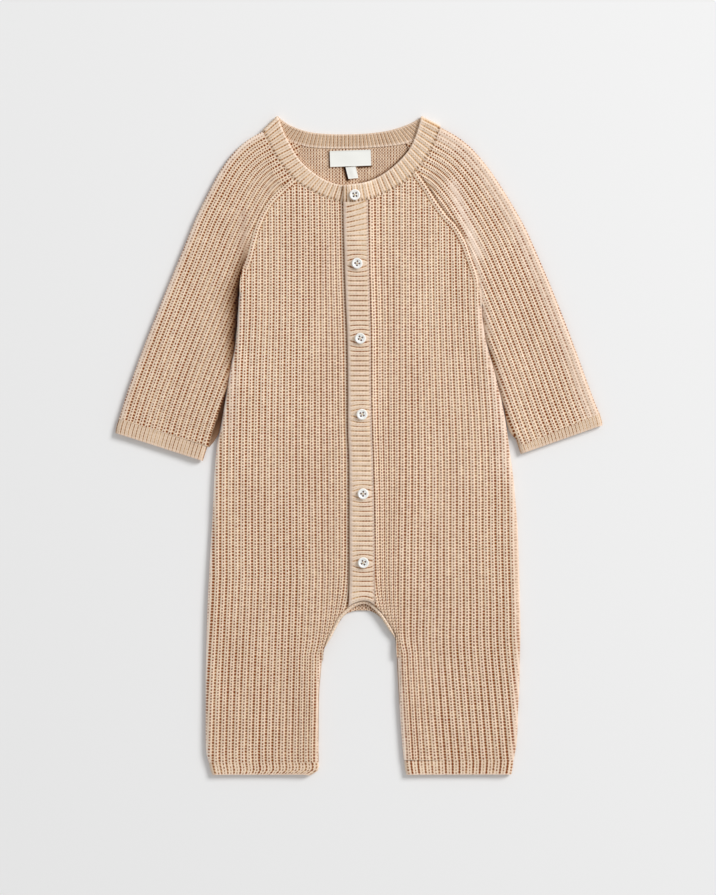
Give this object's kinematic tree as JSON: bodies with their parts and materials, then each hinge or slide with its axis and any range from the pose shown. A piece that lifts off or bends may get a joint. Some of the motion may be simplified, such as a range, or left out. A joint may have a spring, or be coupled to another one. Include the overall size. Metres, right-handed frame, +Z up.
{
  "type": "baby romper",
  "caption": "Long-sleeved knitted baby romper with short legs, laid flat face up: chunky vertical ribs, raglan sleeves, ribbed crew neck and a buttoned band down the front.",
  "frame": {"origin": "middle of the outline, on the surface the romper lies on", "axes": "+X to the wearer's left, +Y towards the neck, +Z up out of the front"},
  "size_m": [0.3994, 0.541, 0.0105],
  "materials": {
    "knit": "soft matt half-cardigan rib",
    "trim_knit": "matt fine 1x1 rib",
    "buttons": "pearly four-hole buttons",
    "label": "smooth woven tape"
  },
  "bodies": {
    "root": {"back": "knit", "front_right": "knit", "front_left": "knit", "sleeve_right": "knit", "sleeve_left": "knit", "cuff_right": "trim_knit", "cuff_left": "trim_knit", "leg_hem_right": "trim_knit", "leg_hem_left": "trim_knit", "neckband": "trim_knit", "button_band": "trim_knit", "under_band": "trim_knit", "crotch_trim": "trim_knit", "button_1": "buttons", "button_2": "buttons", "button_3": "buttons", "button_4": "buttons", "button_5": "buttons", "button_6": "buttons", "label": "label", "size_tab": "label"}
  },
  "joints": []
}
